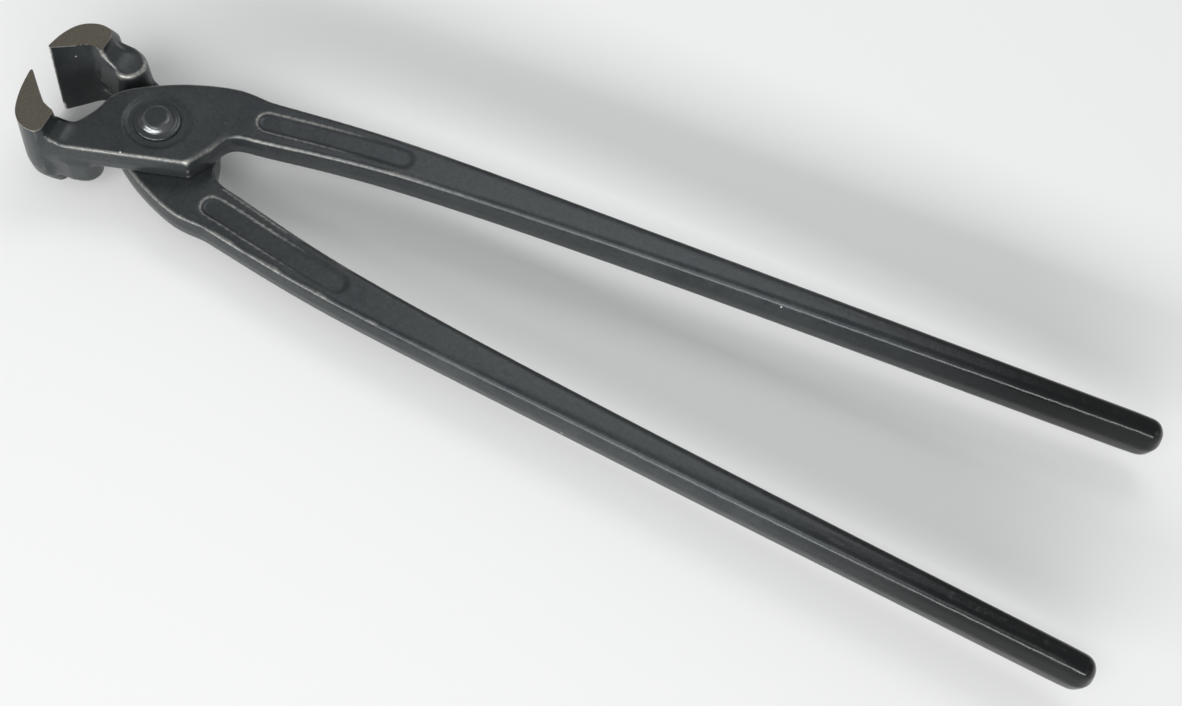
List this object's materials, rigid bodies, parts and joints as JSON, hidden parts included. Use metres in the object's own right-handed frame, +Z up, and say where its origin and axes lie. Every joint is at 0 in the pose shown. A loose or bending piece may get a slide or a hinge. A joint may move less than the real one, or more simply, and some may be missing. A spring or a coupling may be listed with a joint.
{
  "type": "concreters nippers",
  "caption": "Forged end-cutting nippers with long plain handles, crossing at a riveted lap joint, for twisting and cutting tie wire.",
  "frame": {"origin": "middle of the nippers' length and width as they lie with the jaws a little open, level with the lowest jaw faces", "axes": "+X along the tool from the jaws to the handle ends, +Y across the tool on the front lever's handle side, +Z up along the rivet"},
  "size_m": [0.2776, 0.0706, 0.0254],
  "materials": {
    "forged_steel": "black oxide on drop-forged steel, jaw side faces ground bare",
    "rivet_steel": "black oxide, worn bright on the head"
  },
  "bodies": {
    "rear": {"rear_lever": "forged_steel", "pivot_rivet": "rivet_steel"},
    "front": {"front_lever": "forged_steel"}
  },
  "joints": [
    {"name": "pivot", "type": "hinge", "parent": "rear", "child": "front", "pos_m": [-0.10839, 0, 0.0127], "axis": [0, 0, 1], "range_deg": [-11.7, 50]}
  ]
}
